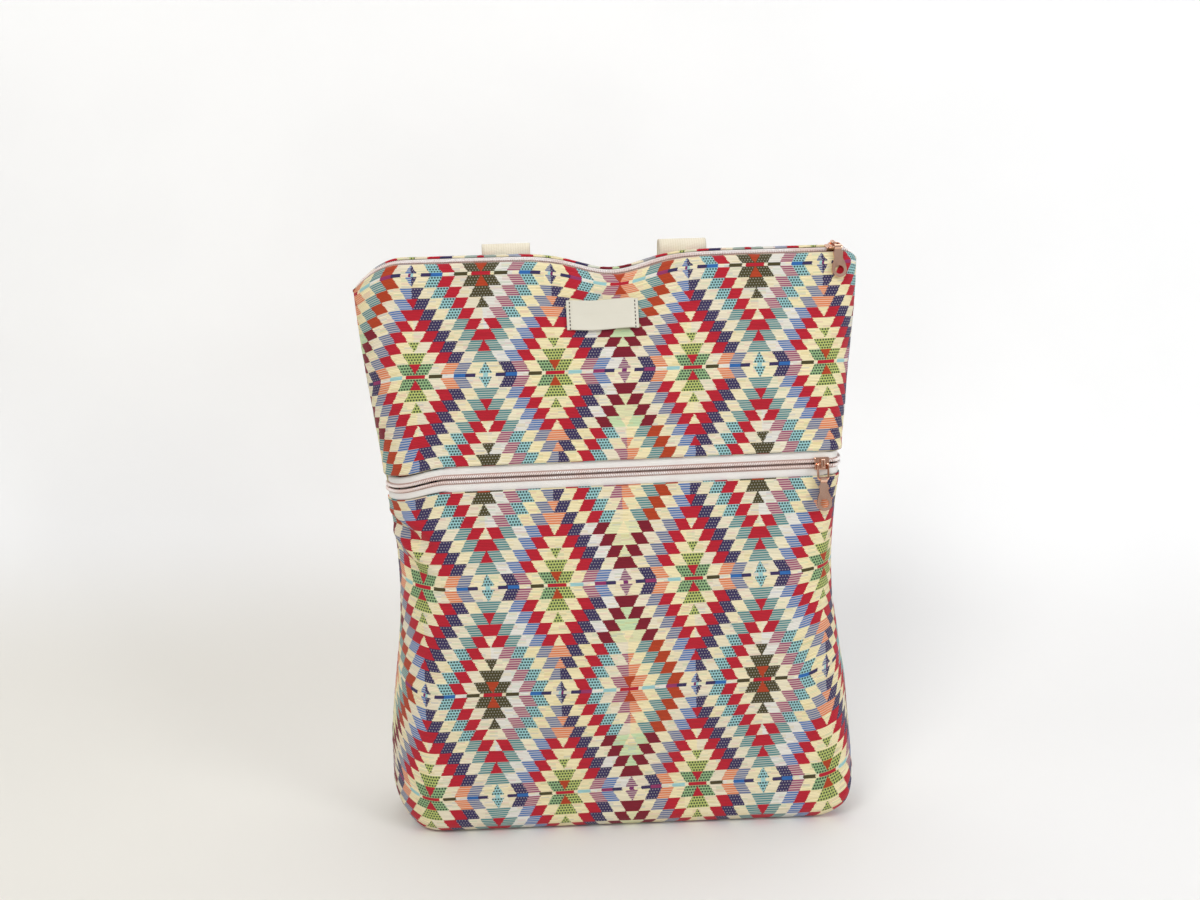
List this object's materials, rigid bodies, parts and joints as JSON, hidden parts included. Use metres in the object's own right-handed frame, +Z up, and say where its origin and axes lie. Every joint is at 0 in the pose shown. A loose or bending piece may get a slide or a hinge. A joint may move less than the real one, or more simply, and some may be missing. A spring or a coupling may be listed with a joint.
{
  "type": "backpack",
  "caption": "Zipped cloth backpack with a front zip pocket, a sewn label and two adjustable webbing shoulder straps.",
  "frame": {"origin": "middle of the box's underside, which is the surface the bag stands on", "axes": "+X to the right seen from the front, +Y towards the shoulder straps, +Z up"},
  "size_m": [0.3772, 0.1222, 0.4418],
  "materials": {
    "patterned_cloth": "jacquard cloth in a stepped diamond pattern of red, cream, green, blue and purple",
    "lining_cloth": "plain cotton",
    "zip_tape": "off-white woven tape",
    "zip_coil": "metallised rose coil",
    "rose_metal": "rose-gold plated, polished",
    "label_cloth": "cream cotton, bare",
    "webbing": "cream cotton webbing"
  },
  "bodies": {
    "bag": {"front_upper_panel": "patterned_cloth", "front_lower_panel": "patterned_cloth", "back_panel": "patterned_cloth", "main_lining": "lining_cloth", "pocket_lining": "lining_cloth", "top_zip_tape_front": "zip_tape", "top_zip_tape_back": "zip_tape", "top_zip_coil_front": "zip_coil", "top_zip_coil_back": "zip_coil", "pocket_zip_tape_upper": "zip_tape", "pocket_zip_tape_lower": "zip_tape", "pocket_zip_coil_upper": "zip_coil", "pocket_zip_coil_lower": "zip_coil", "label": "label_cloth", "strap_left": "webbing", "strap_right": "webbing", "strap_tab_left": "webbing", "strap_tab_right": "webbing", "strap_adjuster_left": "rose_metal", "strap_adjuster_right": "rose_metal", "strap_ring_left": "rose_metal", "strap_ring_right": "rose_metal"},
    "top_slider": {"top_zip_slider": "rose_metal"},
    "top_bail": {"top_zip_bail": "rose_metal"},
    "top_pull": {"top_zip_pull": "rose_metal"},
    "pocket_slider": {"pocket_zip_slider": "rose_metal"},
    "pocket_bail": {"pocket_zip_bail": "rose_metal"},
    "pocket_pull": {"pocket_zip_pull": "rose_metal"}
  },
  "joints": [
    {"name": "top_zip_slide", "type": "slide", "parent": "bag", "child": "top_slider", "axis": [-0.9995, 0, -0.0314], "range_m": [0, 0.305]},
    {"name": "top_bail_swing", "type": "hinge", "parent": "top_slider", "child": "top_bail", "pos_m": [0.1661, -0.00839, 0.43711], "axis": [-0.9995, 0, -0.0314], "range_deg": [0, 100]},
    {"name": "top_pull_swing", "type": "hinge", "parent": "top_bail", "child": "top_pull", "pos_m": [0.16619, -0.01998, 0.434], "axis": [-0.9995, 0, -0.0314], "range_deg": [0, 70]},
    {"name": "pocket_zip_slide", "type": "slide", "parent": "bag", "child": "pocket_slider", "axis": [-0.9995, 0, -0.0314], "range_m": [0, 0.27]},
    {"name": "pocket_bail_swing", "type": "hinge", "parent": "pocket_slider", "child": "pocket_bail", "pos_m": [0.1521, -0.04864, 0.27723], "axis": [-0.9995, 0, -0.0314], "range_deg": [0, 90]},
    {"name": "pocket_pull_swing", "type": "hinge", "parent": "pocket_bail", "child": "pocket_pull", "pos_m": [0.15247, -0.05018, 0.26533], "axis": [-0.9995, 0, -0.0314], "range_deg": [0, 75]}
  ]
}
